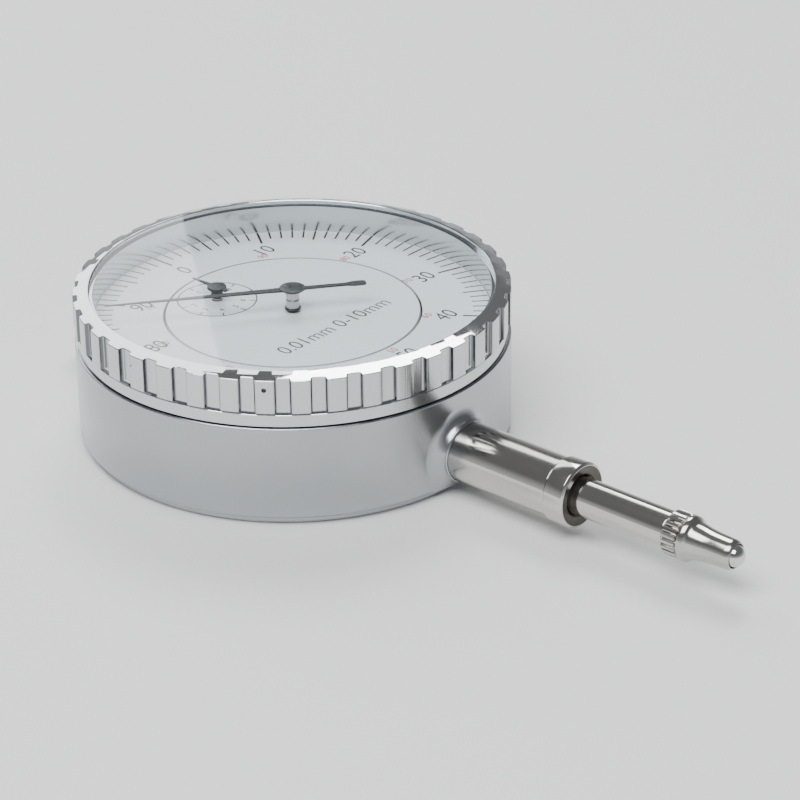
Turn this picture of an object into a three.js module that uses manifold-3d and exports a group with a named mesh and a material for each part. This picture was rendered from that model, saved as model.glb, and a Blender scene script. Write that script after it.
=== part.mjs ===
// A 58 mm dial indicator with 10 mm of travel, 0.01 mm to a graduation, and a flat back.
// Millimetres. Z is the dial's axis, z = 0 is the back face, and the stem points along -Y.
// The spindle carries a rack. The rack turns a pinion and a large wheel, the wheel turns the
// centre pinion that carries the main hand, and a second large wheel with a hairspring on it
// keeps every tooth pressed to the same flank.
import * as THREE from 'three';
import { mergeVertices } from 'three/addons/utils/BufferGeometryUtils.js';
import Module from 'manifold-3d';

const wasm = await Module();
wasm.setup();

// Case, back and bezel.
const CASE_RADIUS = 29;
const CASE_BORE = 26.6;
const COVER_THICKNESS = 1;
const CASE_TOP = 13.75;
const LEDGE_BOTTOM = 11.75;
const LEDGE_TOP = 12.75;
const SPIGOT_RADIUS = 27.3;
const SPIGOT_TOP = 15.5;
const BEZEL_TOP = 21;
const KNURL_BOTTOM = 15.9;
const FLUTES = 40;
const FIRST_FLUTE_ANGLE = 4.55;
const DIAL_BACK = 16.25;
const DIAL_FACE = 16.55;
const CRYSTAL_SEAT = 20.25;
const GAP = 0.25;

// Stem, spindle and contact, all on one axis above the back.
const AXIS_HEIGHT = 5.75;
const STEM_RADIUS = 4;
const STEM_END = -45.8;
const COLLAR_RADIUS = 4.35;
const COLLAR_END = -49;
const COLLAR_CHAMFER = 0.3;
const SPINDLE_RADIUS = 2.5;
const SPINDLE_END = -63;
const SPINDLE_TOP = 27.4;
const CAP_START = 30;
const CAP_END = 38.9;
const CAP_WALL = 0.9;
const KNURL_END = -65.4;
const CONTACT_RADIUS = 2.95;
const CONTACT_STUD_END = -58.6;
const CONTACT_TIP = -72.6;
const BALL_RADIUS = 1.45;
const TRAVEL = 10;

// Gear train: one turn of the main hand for 1 mm of spindle travel.
const RACK_PITCH = 0.625;
const MODULE = RACK_PITCH / Math.PI;
const RACK_PINION_TEETH = 16;
const WHEEL_TEETH = 100;
const CENTRE_PINION_TEETH = 10;
const ADDENDUM = 0.85;
const COUNTER_DIRECTION = 110.82;
const TAKEUP_DIRECTION = -60;
const WHEEL_BOTTOM = 10.25;
const WHEEL_THICKNESS = 0.7;
const BRIDGE_BOTTOM = 8.75;
const BRIDGE_TOP = 9.75;
const PLATE_TOP = 13.5;

// Hands at rest, clockwise from twelve o'clock.
const MAIN_HAND_ANGLE = 307.8;
const MAIN_HAND_LENGTH = 24.8;
const SMALL_HAND_LENGTH = 4.5;

const degrees = THREE.MathUtils.degToRad;
const centreDistance = MODULE * (WHEEL_TEETH + CENTRE_PINION_TEETH) / 2;
const counterPlace = polar(centreDistance, COUNTER_DIRECTION);
const takeupPlace = polar(centreDistance, TAKEUP_DIRECTION);
const rackPitchLine = counterPlace[0] + MODULE * RACK_PINION_TEETH / 2;

const finishes = {
  case: { color: 0xa6a9ab, roughness: 0.42, metalness: 0.85 },
  chrome: { color: 0xc9ccce, roughness: 0.2, metalness: 1 },
  steel: { color: 0xb9bbbc, roughness: 0.25, metalness: 1 },
  spring: { color: 0x8f9297, roughness: 0.3, metalness: 1 },
  brass: { color: 0xb8924e, roughness: 0.35, metalness: 1 },
  dial: { color: 0xf0f0ec, roughness: 0.5, metalness: 0 },
  hand: { color: 0x1c1d20, roughness: 0.4, metalness: 0.2 },
  crystal: { color: 0xdfeaf0, roughness: 0.05, metalness: 0 },
};

function polar(radius, angle) {
  return [radius * Math.cos(degrees(angle)), radius * Math.sin(degrees(angle))];
}

// A closed geometry becomes a solid: corners are shared, slivers go, and faces point out.
function solidOf(geometry) {
  const bare = geometry.clone();
  bare.deleteAttribute('normal');
  bare.deleteAttribute('uv');
  const merged = mergeVertices(bare, 1e-4);
  const places = merged.attributes.position;
  const corners = merged.index.array;
  const kept = [];
  let volume = 0;
  const a = new THREE.Vector3();
  const b = new THREE.Vector3();
  const c = new THREE.Vector3();
  for (let i = 0; i < corners.length; i += 3) {
    const [p, q, r] = [corners[i], corners[i + 1], corners[i + 2]];
    if (p === q || q === r || r === p) {
      continue;
    }
    kept.push(p, q, r);
    a.fromBufferAttribute(places, p);
    b.fromBufferAttribute(places, q);
    c.fromBufferAttribute(places, r);
    volume += a.dot(b.cross(c));
  }
  if (volume < 0) {
    kept.reverse();
  }
  const vertProperties = new Float32Array(places.array);
  const triVerts = new Uint32Array(kept);
  return new wasm.Manifold(new wasm.Mesh({ numProp: 3, vertProperties, triVerts }));
}

function geometryOf(solid) {
  const mesh = solid.getMesh();
  const geometry = new THREE.BufferGeometry();
  geometry.setAttribute('position', new THREE.BufferAttribute(mesh.vertProperties.slice(), 3));
  geometry.setIndex(new THREE.BufferAttribute(mesh.triVerts.slice(), 1));
  geometry.computeVertexNormals();
  return geometry;
}

function piece(group, name, finish, solid, place = [0, 0, 0]) {
  const mesh = new THREE.Mesh(geometryOf(solid), new THREE.MeshStandardMaterial(finishes[finish]));
  mesh.name = name;
  mesh.position.set(...place);
  group.add(mesh);
  return mesh;
}

function groupAt(parent, x, y, z) {
  const group = new THREE.Group();
  group.position.set(x, y, z);
  parent.add(group);
  return group;
}

// Turned shapes. A profile is a list of [radius, height], closed on itself or on the axis.
function turnedAlongY(profile, segments = 24) {
  const points = profile.map(([radius, height]) => new THREE.Vector2(radius, height));
  return solidOf(new THREE.LatheGeometry(points, segments));
}

function turned(profile, segments = 20) {
  const points = profile.map(([radius, height]) => new THREE.Vector2(radius, height));
  return solidOf(new THREE.LatheGeometry(points, segments).rotateX(Math.PI / 2));
}

function ringProfile(inner, outer, low, high) {
  return [[inner, low], [outer, low], [outer, high], [inner, high], [inner, low]];
}

function rodProfile(radius, low, high) {
  return [[0, low], [radius, low], [radius, high], [0, high]];
}

function slab(shape, low, high, curveSegments = 12) {
  const settings = { depth: high - low, bevelEnabled: false, curveSegments };
  return solidOf(new THREE.ExtrudeGeometry(shape, settings).translate(0, 0, low));
}

function block(low, high) {
  const size = high.map((value, i) => value - low[i]);
  const middle = high.map((value, i) => (value + low[i]) / 2);
  return solidOf(new THREE.BoxGeometry(...size).translate(...middle));
}

function uprightHole(place, radius, low, high, segments = 10) {
  const settings = [radius, radius, high - low, segments];
  const rod = new THREE.CylinderGeometry(...settings).rotateX(Math.PI / 2);
  return solidOf(rod.translate(place[0], place[1], (low + high) / 2));
}

function without(solid, cutters) {
  return cutters.reduce((left, cutter) => left.subtract(cutter), solid);
}

function joined(solid, extras) {
  return extras.reduce((sum, extra) => sum.add(extra), solid);
}

function outline(points) {
  return new THREE.Shape(points.map(([x, y]) => new THREE.Vector2(x, y)));
}

// Toothed outlines. Each tooth is centred on phase plus a whole number of pitches. A pinion
// has flat-bottomed gaps, and a wheel's fine teeth meet in V-shaped ones.
function pinionOutline(teeth, phase) {
  const pitchRadius = MODULE * teeth / 2;
  const tip = pitchRadius + ADDENDUM * MODULE;
  const root = pitchRadius - 1.2 * MODULE;
  const pitch = 360 / teeth;
  const points = [];
  for (let i = 0; i < teeth; i += 1) {
    const middle = phase + i * pitch;
    points.push(polar(root, middle - 0.27 * pitch));
    points.push(polar(tip, middle - 0.1 * pitch));
    points.push(polar(tip, middle + 0.1 * pitch));
    points.push(polar(root, middle + 0.27 * pitch));
  }
  return outline(points);
}

function wheelOutline(phase) {
  const pitchRadius = MODULE * WHEEL_TEETH / 2;
  const tip = pitchRadius + ADDENDUM * MODULE;
  const root = pitchRadius - 1.6 * MODULE;
  const pitch = 360 / WHEEL_TEETH;
  const points = [];
  for (let i = 0; i < WHEEL_TEETH; i += 1) {
    const middle = phase + i * pitch;
    points.push(polar(tip, middle - 0.1 * pitch));
    points.push(polar(tip, middle + 0.1 * pitch));
    points.push(polar(root, middle + 0.5 * pitch));
  }
  return outline(points);
}

// A screw stands on its head's underside at z = 0, with the shank below and the slot on top.
function screw(headRadius, headHeight, shankRadius, shankLength) {
  const profile = [[0, -shankLength], [shankRadius, -shankLength], [shankRadius, 0]];
  profile.push([headRadius, 0], [headRadius, headHeight], [0, headHeight]);
  const reach = headRadius + 1;
  const slotLow = [-reach, -0.15 * headRadius, headHeight * 0.5];
  const slot = block(slotLow, [reach, 0.15 * headRadius, headHeight + 1]);
  return turned(profile, 8).subtract(slot);
}

const indicator = new THREE.Group();
indicator.name = 'dial_indicator';
const caseGroup = groupAt(indicator, 0, 0, 0);
const axisGroup = groupAt(indicator, 0, 0, AXIS_HEIGHT);
const spindleGroup = groupAt(indicator, 0, 0, AXIS_HEIGHT);
const bezelGroup = groupAt(indicator, 0, 0, 0);
const counterGroup = groupAt(indicator, ...counterPlace, 0);
const centreGroup = groupAt(indicator, 0, 0, 0);
const takeupGroup = groupAt(indicator, ...takeupPlace, 0);

// Case body: a ring with a ledge for the movement, a spigot for the bezel, four bosses for
// the back screws, and a flared boss where the stem is pressed in.
const backScrewPlaces = [45, 135, 225, 315].map((angle) => polar(24.2, angle));
const plateScrewPlaces = [90, 210, 330].map((angle) => polar(24.2, angle));

function caseWall() {
  const profile = [[28.6, COVER_THICKNESS], [CASE_RADIUS, 1.4], [CASE_RADIUS, CASE_TOP]];
  profile.push([SPIGOT_RADIUS, CASE_TOP], [SPIGOT_RADIUS, 14.25], [26.9, 14.25]);
  profile.push([26.9, 15.15], [SPIGOT_RADIUS, 15.15], [SPIGOT_RADIUS, SPIGOT_TOP]);
  profile.push([25.9, SPIGOT_TOP], [25.9, LEDGE_TOP], [22.6, LEDGE_TOP]);
  profile.push([22.6, LEDGE_BOTTOM], [CASE_BORE, LEDGE_BOTTOM]);
  profile.push([CASE_BORE, COVER_THICKNESS], [28.6, COVER_THICKNESS]);
  return turned(profile, 48);
}

function stemBoss() {
  const profile = [[0, -26], [5.9, -26], [5.7, -28.4], [5, -29.1], [4.7, -29.8]];
  profile.push([4.6, -30.5], [0, -30.5]);
  return turnedAlongY(profile, 32).translate(0, 0, AXIS_HEIGHT);
}

function caseBody() {
  const capBoss = turnedAlongY(rodProfile(5.4, 26, CAP_START)).translate(0, 0, AXIS_HEIGHT);
  const clip = block([-40, -40, COVER_THICKNESS], [40, 40, 30]);
  const bosses = backScrewPlaces.map((place) => (
    uprightHole(place, 2.55, COVER_THICKNESS, LEDGE_BOTTOM + 0.5, 16)
  ));
  const solid = joined(caseWall(), [stemBoss(), capBoss, ...bosses]).intersect(clip);
  const stemBore = turnedAlongY(rodProfile(STEM_RADIUS + GAP, -40, -20));
  const bushBore = turnedAlongY(rodProfile(3.85, 20, 40));
  const bores = [stemBore, bushBore].map((bore) => bore.translate(0, 0, AXIS_HEIGHT));
  const backHoles = backScrewPlaces.map((place) => uprightHole(place, 1.1, 0, 6));
  const plateHoles = plateScrewPlaces.map((place) => uprightHole(place, 0.95, 11, 14));
  return without(solid, [...bores, ...backHoles, ...plateHoles]);
}

function backCover() {
  const profile = [[0, 0], [27.9, 0], [28.3, 0.4], [28.3, COVER_THICKNESS], [0, COVER_THICKNESS]];
  const heads = backScrewPlaces.map((place) => uprightHole(place, 2, -1, 0.6));
  const shanks = backScrewPlaces.map((place) => uprightHole(place, 1.1, -1, 2));
  return without(turned(profile, 48), [...heads, ...shanks]);
}

piece(caseGroup, 'case_body', 'case', caseBody());
piece(caseGroup, 'back_cover', 'case', backCover());
const backScrew = screw(1.7, 0.5, 0.85, 4);
backScrewPlaces.forEach((place, i) => {
  const mesh = piece(caseGroup, `back_screw_${i + 1}`, 'steel', backScrew, [...place, 0.6]);
  mesh.rotation.x = Math.PI;
});

// Stem, lower bush with its collar, upper bush and top cap.
function lowerBush() {
  const bore = SPINDLE_RADIUS + GAP;
  const profile = [[bore, -38], [3.2, -38], [3.2, STEM_END], [COLLAR_RADIUS, STEM_END]];
  profile.push([COLLAR_RADIUS, COLLAR_END + COLLAR_CHAMFER]);
  profile.push([COLLAR_RADIUS - COLLAR_CHAMFER, COLLAR_END], [bore, COLLAR_END]);
  profile.push([bore, -38]);
  return turnedAlongY(profile);
}

function upperBush() {
  const bore = SPINDLE_RADIUS + GAP;
  const profile = [[bore, 23.5], [3.6, 23.5], [3.6, 25.25], [4.4, 25.25], [4.4, 25.9]];
  profile.push([3.6, 25.9], [3.6, 31.5], [bore, 31.5], [bore, 23.5]);
  return turnedAlongY(profile, 20);
}

function topCap() {
  const profile = [[3.85, CAP_START], [4.5, CAP_START], [4.5, CAP_END - 0.6], [3.9, CAP_END]];
  profile.push([0, CAP_END], [0, CAP_END - CAP_WALL], [3.3, CAP_END - CAP_WALL]);
  profile.push([3.3, 33], [3.85, 33]);
  return turnedAlongY([...profile, [3.85, CAP_START]]);
}

piece(axisGroup, 'stem', 'chrome', turnedAlongY(ringProfile(3.45, STEM_RADIUS, STEM_END, -25.5)));
piece(axisGroup, 'lower_bush', 'chrome', lowerBush());
piece(axisGroup, 'upper_bush', 'brass', upperBush());
piece(axisGroup, 'top_cap', 'chrome', topCap());

// Movement frame: a main plate on the case ledge, a bridge on four pillars under it, and a
// cock that holds the rack pinion's lower pivot below the spindle.
const pillarPlaces = [[13.5, 5], [8.5, 14.5], [-13.5, -5], [-8.5, -14.5]];
const railScrewPlaces = [[5, -1.75], [5, 13.75]];
const cockScrewPlaces = [[-11, 9.2], [-11, 12]];
const springPostPlace = [8, -15.5];

function mainPlate() {
  const holes = [uprightHole([0, 0], 1, 12, 14), uprightHole(counterPlace, 1, 12, 14)];
  holes.push(uprightHole(takeupPlace, 0.65, 12, 14));
  pillarPlaces.forEach((place) => holes.push(uprightHole(place, 0.85, 12, 14)));
  plateScrewPlaces.forEach((place) => holes.push(uprightHole(place, 0.95, 12, 14)));
  return without(turned(rodProfile(25.6, LEDGE_TOP, PLATE_TOP), 48), holes);
}

function bridgePlate() {
  const shape = outline([[-14.5, 8], [-15.8, 1], [-15.8, -5], [-10.8, -15.5], [-6, -17.4], [6, -17.4]]
    .concat([[10.5, -15.5], [15.8, -3], [15.8, 5], [11, 15.5], [6, 17.4], [-6, 17.4], [-12.8, 13.4]]));
  const holes = [uprightHole([0, 0], 0.65, 8, 10), uprightHole(takeupPlace, 0.65, 8, 10)];
  holes.push(uprightHole(counterPlace, 2.05, 8, 10, 16));
  [...railScrewPlaces, ...cockScrewPlaces].forEach((place) => {
    holes.push(uprightHole(place, 0.85, 8, 10));
    holes.push(uprightHole(place, 1.35, BRIDGE_TOP - 0.5, 10));
  });
  return without(slab(shape, BRIDGE_BOTTOM, BRIDGE_TOP), holes);
}

function pillar() {
  const bored = [[0, BRIDGE_TOP], [1.6, BRIDGE_TOP], [1.6, LEDGE_TOP], [0.85, LEDGE_TOP]];
  return turned([...bored, [0.85, 11], [0, 11]], 12);
}

function pinionCock() {
  const foot = block([-12.5, 8, 3], [-9.5, 13.2, BRIDGE_BOTTOM]);
  const arm = block([-12.5, 8.4, 2], [-2.9, 12, 3.5]);
  const holes = cockScrewPlaces.map((place) => uprightHole(place, 0.85, 6.5, 10));
  holes.push(uprightHole(counterPlace, 0.65, 1, 3));
  holes.push(uprightHole(counterPlace, 1.1, 3, 5));
  return without(foot.add(arm), holes);
}

piece(caseGroup, 'main_plate', 'brass', mainPlate());
piece(caseGroup, 'bridge_plate', 'brass', bridgePlate());
piece(caseGroup, 'pinion_cock', 'brass', pinionCock());
const plateScrew = screw(1.3, 0.8, 0.65, 1.5);
plateScrewPlaces.forEach((place, i) => {
  piece(caseGroup, `plate_screw_${i + 1}`, 'steel', plateScrew, [...place, PLATE_TOP]);
});
const pillarSolid = pillar();
const pillarScrew = screw(1.3, 0.7, 0.6, 2.25);
pillarPlaces.forEach((place, i) => {
  piece(caseGroup, `pillar_${i + 1}`, 'brass', pillarSolid, [...place, 0]);
  piece(caseGroup, `pillar_screw_${i + 1}`, 'steel', pillarScrew, [...place, PLATE_TOP]);
});
const flushScrew = screw(1.1, 0.4, 0.6, 2.4);
cockScrewPlaces.forEach((place, i) => {
  piece(caseGroup, `cock_screw_${i + 1}`, 'steel', flushScrew, [...place, BRIDGE_TOP - 0.5]);
});

// Guide rail: the pin on the spindle runs in its window, so the spindle can't turn.
function guideRail() {
  const rail = block([3.5, -2.75, 3.5], [6.5, 14.75, BRIDGE_BOTTOM]);
  const window = block([3, -0.2, AXIS_HEIGHT - 1], [7, 12.2, AXIS_HEIGHT + 1]);
  const holes = railScrewPlaces.map((place) => uprightHole(place, 0.85, 6, 10));
  return without(rail, [window, ...holes]);
}

piece(caseGroup, 'guide_rail', 'steel', guideRail());
railScrewPlaces.forEach((place, i) => {
  piece(caseGroup, `rail_screw_${i + 1}`, 'steel', flushScrew, [...place, BRIDGE_TOP - 0.5]);
});

// Return spring: stretched between a post under the bridge and the guide pin.
class Helix extends THREE.Curve {
  constructor(radius, length, turns) {
    super();
    Object.assign(this, { radius, length, turns });
  }

  getPoint(t, target = new THREE.Vector3()) {
    const angle = 2 * Math.PI * this.turns * t;
    return target.set(this.radius * Math.cos(angle), this.length * t, this.radius * Math.sin(angle));
  }
}

function returnSpring() {
  const wire = new THREE.Shape().absarc(0, 0, 0.22, 0, 2 * Math.PI);
  const turns = 9;
  const path = new Helix(0.95, 14.2, turns);
  const settings = { steps: turns * 8, extrudePath: path, curveSegments: 2, bevelEnabled: false };
  return solidOf(new THREE.ExtrudeGeometry(wire, settings));
}

const springPost = turned(rodProfile(0.55, AXIS_HEIGHT - 1.4, BRIDGE_BOTTOM), 10);
piece(caseGroup, 'spring_post', 'steel', springPost, [...springPostPlace, 0]);
const springStart = [springPostPlace[0], springPostPlace[1] + 0.9, AXIS_HEIGHT];
piece(caseGroup, 'return_spring', 'spring', returnSpring(), springStart);

// Spindle with its rack, the guide pin, the contact and its ball.
function rackCutter() {
  const depth = rackPitchLine + 1.2 * MODULE;
  const tip = rackPitchLine - ADDENDUM * MODULE;
  const firstGap = counterPlace[1] - TRAVEL - 3.5 * RACK_PITCH;
  const gaps = 23;
  const points = [[-5, firstGap - RACK_PITCH]];
  points.push([tip, firstGap - RACK_PITCH]);
  for (let i = 0; i < gaps; i += 1) {
    const middle = firstGap + i * RACK_PITCH;
    points.push([tip, middle - 0.4 * RACK_PITCH], [depth, middle - 0.23 * RACK_PITCH]);
    points.push([depth, middle + 0.23 * RACK_PITCH], [tip, middle + 0.4 * RACK_PITCH]);
  }
  const end = firstGap + gaps * RACK_PITCH;
  points.push([tip, end], [-5, end]);
  return slab(outline(points), -3, 3);
}

function spindle() {
  const profile = [[0, CONTACT_STUD_END + 1], [1.45, CONTACT_STUD_END + 1], [1.45, SPINDLE_END]];
  profile.push([SPINDLE_RADIUS - 0.2, SPINDLE_END], [SPINDLE_RADIUS, SPINDLE_END + 0.2]);
  profile.push([SPINDLE_RADIUS, SPINDLE_TOP - 0.4]);
  profile.push([SPINDLE_RADIUS - 0.4, SPINDLE_TOP], [0, SPINDLE_TOP]);
  const pinHole = new THREE.CylinderGeometry(0.95, 0.95, 3, 10).rotateZ(Math.PI / 2);
  return without(turnedAlongY(profile), [rackCutter(), solidOf(pinHole.translate(2.3, 1, 0))]);
}

function guidePin() {
  const profile = [[0, 1.1], [0.7, 1.1], [0.7, 8.3], [0.45, 8.5], [0.45, 8.9], [0.7, 9.1]];
  const points = [...profile, [0.7, 9.5], [0, 9.5]].map(([r, h]) => new THREE.Vector2(r, h));
  return solidOf(new THREE.LatheGeometry(points, 10).rotateZ(-Math.PI / 2));
}

function contactPoint() {
  const profile = [[0, CONTACT_STUD_END], [1.2, CONTACT_STUD_END], [1.2, SPINDLE_END]];
  profile.push([CONTACT_RADIUS, SPINDLE_END], [CONTACT_RADIUS, KNURL_END - 0.6]);
  profile.push([2.5, KNURL_END - 1.2], [2.1, KNURL_END - 3.5], [1.95, CONTACT_TIP + 0.8]);
  profile.push([1.75, CONTACT_TIP], [1.6, CONTACT_TIP]);
  profile.push([1.6, CONTACT_TIP + 2.1], [0, CONTACT_TIP + 2.1]);
  const flutes = [];
  for (let i = 0; i < 12; i += 1) {
    const flute = new THREE.CylinderGeometry(0.3, 0.3, SPINDLE_END - KNURL_END + 0.4, 4);
    flute.translate(CONTACT_RADIUS, (SPINDLE_END + KNURL_END) / 2, 0).rotateY(degrees(30 * i));
    flutes.push(solidOf(flute));
  }
  return without(turnedAlongY(profile, 24), flutes);
}

piece(spindleGroup, 'spindle', 'steel', spindle());
piece(spindleGroup, 'guide_pin', 'steel', guidePin(), [0, 1, 0]);
piece(spindleGroup, 'contact_point', 'steel', contactPoint());
const ball = solidOf(new THREE.SphereGeometry(BALL_RADIUS, 14, 8));
piece(spindleGroup, 'contact_ball', 'chrome', ball, [0, CONTACT_TIP + 0.4, 0]);

// Bezel: forty flutes, an inner flange for the turning dial ring and a seat for the crystal.
function bezel() {
  const outside = [[0, 14], [28.6, 14], [28.6, KNURL_BOTTOM], [CASE_RADIUS, KNURL_BOTTOM]];
  outside.push([CASE_RADIUS, 20.5], [27.1, BEZEL_TOP], [0, BEZEL_TOP]);
  const inside = [[0, 22], [26.85, 22], [26.85, CRYSTAL_SEAT], [26.35, CRYSTAL_SEAT]];
  inside.push([26.35, DIAL_BACK], [25, DIAL_BACK], [25, 15.75], [27.6, 15.75], [27.6, 15.15]);
  inside.push([27.9, 15.15], [27.9, 14.25], [27.6, 14.25], [27.6, 13], [0, 13]);
  const flutes = [];
  for (let i = 0; i < FLUTES; i += 1) {
    const cutter = new THREE.BoxGeometry(2, 2.2, 6).translate(29.4, 0, KNURL_BOTTOM + 3);
    flutes.push(solidOf(cutter.rotateZ(degrees(FIRST_FLUTE_ANGLE + i * 360 / FLUTES))));
  }
  return without(turned(outside, 80), [turned(inside, 48), ...flutes]);
}

function snapWire() {
  const gapAngle = degrees(14);
  const shape = new THREE.Shape();
  shape.absarc(0, 0, 27.65, gapAngle, 2 * Math.PI - gapAngle, false);
  shape.absarc(0, 0, 27.15, 2 * Math.PI - gapAngle, gapAngle, true);
  return slab(shape, 14.5, 14.9, 22);
}

piece(bezelGroup, 'bezel', 'chrome', bezel());
const dialRing = turned(ringProfile(17.25, 26.05, DIAL_BACK, DIAL_FACE), 48);
piece(bezelGroup, 'dial_ring', 'dial', dialRing);
const crystalEdge = [[26.55, CRYSTAL_SEAT], [26.55, 20.75], [26.35, 20.95]];
const crystal = turned([[0, CRYSTAL_SEAT], ...crystalEdge, [0, 20.95]], 48);
piece(bezelGroup, 'crystal', 'crystal', crystal);
piece(caseGroup, 'bezel_snap_wire', 'spring', snapWire());

// Fixed centre of the dial, on three feet.
function dialCentre() {
  const feetPlaces = [[0.5, -14.6], [-14.5, 3], [14, -4]];
  const feet = feetPlaces.map((place) => uprightHole(place, 0.9, PLATE_TOP, DIAL_BACK + 0.1));
  const disc = turned(rodProfile(16.95, DIAL_BACK, DIAL_FACE), 48);
  const holes = [uprightHole([0, 0], 1, 16, 17), uprightHole(counterPlace, 0.9, 16, 17)];
  return without(joined(disc, feet), holes);
}

piece(caseGroup, 'dial_centre', 'dial', dialCentre());

// Wheels and arbors. The gap between two teeth of a pinion faces a tooth of its wheel.
function wheel(phase) {
  const hub = uprightHole([0, 0], 1.05, WHEEL_BOTTOM - 1, WHEEL_BOTTOM + 2);
  const windows = [45, 135, 225, 315].map((angle) => {
    const corners = [[3, -36], [3, 36], [5.8, 40], [8.6, 40], [9, 20], [9, -20], [8.6, -40], [5.8, -40]];
    const shape = outline(corners.map(([radius, turn]) => polar(radius, angle + turn * 0.9)));
    return slab(shape, WHEEL_BOTTOM - 1, WHEEL_BOTTOM + 2);
  });
  const rim = slab(wheelOutline(phase), WHEEL_BOTTOM, WHEEL_BOTTOM + WHEEL_THICKNESS);
  return without(rim, [hub, ...windows]);
}

function counterArbor() {
  const shaft = [[0, 2.2], [0.4, 2.2], [0.4, 3.3], [0.8, 3.3], [0.8, 12.4], [0.55, 12.4]];
  const toothPhase = 180 / RACK_PINION_TEETH;
  const teeth = slab(pinionOutline(RACK_PINION_TEETH, toothPhase), 4.25, 7.25);
  return turned([...shaft, [0.55, 16.8], [0.35, 16.9], [0.35, 18], [0, 18]], 14).add(teeth);
}

function centreArbor() {
  const shaft = [[0, 8.9], [0.4, 8.9], [0.4, 10], [0.7, 10.1], [0.7, 12.4], [0.55, 12.5]];
  const toothPhase = COUNTER_DIRECTION + 180 / CENTRE_PINION_TEETH;
  const teeth = slab(pinionOutline(CENTRE_PINION_TEETH, toothPhase), 10.1, 11.1);
  return turned([...shaft, [0.55, 16.5], [0.35, 16.6], [0.35, 19.5], [0, 19.5]], 14).add(teeth);
}

function takeupArbor() {
  const shaft = [[0, 8.9], [0.4, 8.9], [0.4, 9.9], [0.8, 10], [0.8, 12.3], [0.4, 12.4]];
  return turned([...shaft, [0.4, 13.3], [0, 13.3]], 14);
}

const takeupContact = TAKEUP_DIRECTION + 180;
const centrePitch = 360 / CENTRE_PINION_TEETH;
const gapShift = ((TAKEUP_DIRECTION + 360 - COUNTER_DIRECTION) / centrePitch) % 1;
const takeupPhase = takeupContact + gapShift * 360 / WHEEL_TEETH;
piece(counterGroup, 'counter_arbor', 'steel', counterArbor());
piece(counterGroup, 'counter_wheel', 'brass', wheel(COUNTER_DIRECTION - 180));
piece(centreGroup, 'centre_arbor', 'steel', centreArbor());
piece(takeupGroup, 'takeup_arbor', 'steel', takeupArbor());
piece(takeupGroup, 'takeup_wheel', 'brass', wheel(takeupPhase));
piece(takeupGroup, 'hairspring_collet', 'brass', turned(ringProfile(1.05, 1.5, 11.4, 12), 20));

// Hairspring: a flat spiral round the take-up arbor, with its outer end at a stud.
function hairspring() {
  const turns = 4;
  const steps = turns * 14;
  const innerRadius = 1.8;
  const outerRadius = 6.2;
  const thickness = 0.14;
  const edge = (offset) => Array.from({ length: steps + 1 }, (_, i) => (
    polar(innerRadius + (outerRadius - innerRadius) * i / steps + offset, 360 * turns * i / steps)
  ));
  const points = [...edge(thickness / 2), ...edge(-thickness / 2).reverse()];
  return slab(outline(points), 11.45, 11.95);
}

piece(caseGroup, 'hairspring', 'spring', hairspring(), [...takeupPlace, 0]);
const studPlace = [takeupPlace[0] + 7.1, takeupPlace[1], 0];
piece(caseGroup, 'hairspring_stud', 'brass', turned(rodProfile(0.55, 11.3, LEDGE_TOP), 10), studPlace);

// Hands. Each blade points along +Y before it is turned.
function mainHand() {
  const half = [[0.12, MAIN_HAND_LENGTH], [0.62, 1.5], [1.6, 0.9], [1.6, -0.9], [0.5, -1.6]];
  half.push([0.42, -7.2], [1.3, -8.2], [1.3, -9.9]);
  const mirrored = half.map(([x, y]) => [-x, y]).reverse();
  const blade = slab(outline([...half, ...mirrored]), 19.6, 19.8);
  return blade.subtract(uprightHole([0, 0], 1.15, 19, 20, 12));
}

function handHub() {
  const profile = [[0.6, 16.9], [1.1, 16.9], [1.1, 17.1], [0.9, 17.2], [0.9, 19.8], [1.75, 19.8]];
  return turned([...profile, [1.75, 19.95], [0, 19.95], [0, 19.7], [0.6, 19.7], [0.6, 16.9]], 16);
}

function smallHand() {
  const half = [[0.1, SMALL_HAND_LENGTH], [0.35, 1.2], [0.35, -1.9]];
  const mirrored = half.map(([x, y]) => [-x, y]).reverse();
  const blade = slab(outline([...half, ...mirrored]), 18.25, 18.45);
  const hubProfile = [[0.6, 17.2], [0.9, 17.2], [0.9, 18.2], [1.3, 18.2], [1.3, 18.5], [0, 18.5]];
  const hub = turned([...hubProfile, [0, 18.15], [0.6, 18.15], [0.6, 17.2]], 14);
  const socket = turned(rodProfile(0.6, 18, 18.15), 14);
  return hub.add(blade).subtract(socket);
}

const mainHandMesh = piece(centreGroup, 'main_hand', 'hand', mainHand());
mainHandMesh.rotation.z = -degrees(MAIN_HAND_ANGLE);
piece(centreGroup, 'hand_hub', 'hand', handHub());
piece(counterGroup, 'small_hand', 'hand', smallHand());

export default indicator;
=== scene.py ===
"""A 58 mm dial indicator lying on its back on a pale floor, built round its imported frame.

Metres, in the frame's own axes: Z is the dial's axis, and the stem points along -Y. Sizes in the
script are in millimetres and are turned to metres by MM.
"""
import math

import bmesh
import bpy
from mathutils import Matrix, Quaternion, Vector


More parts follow.
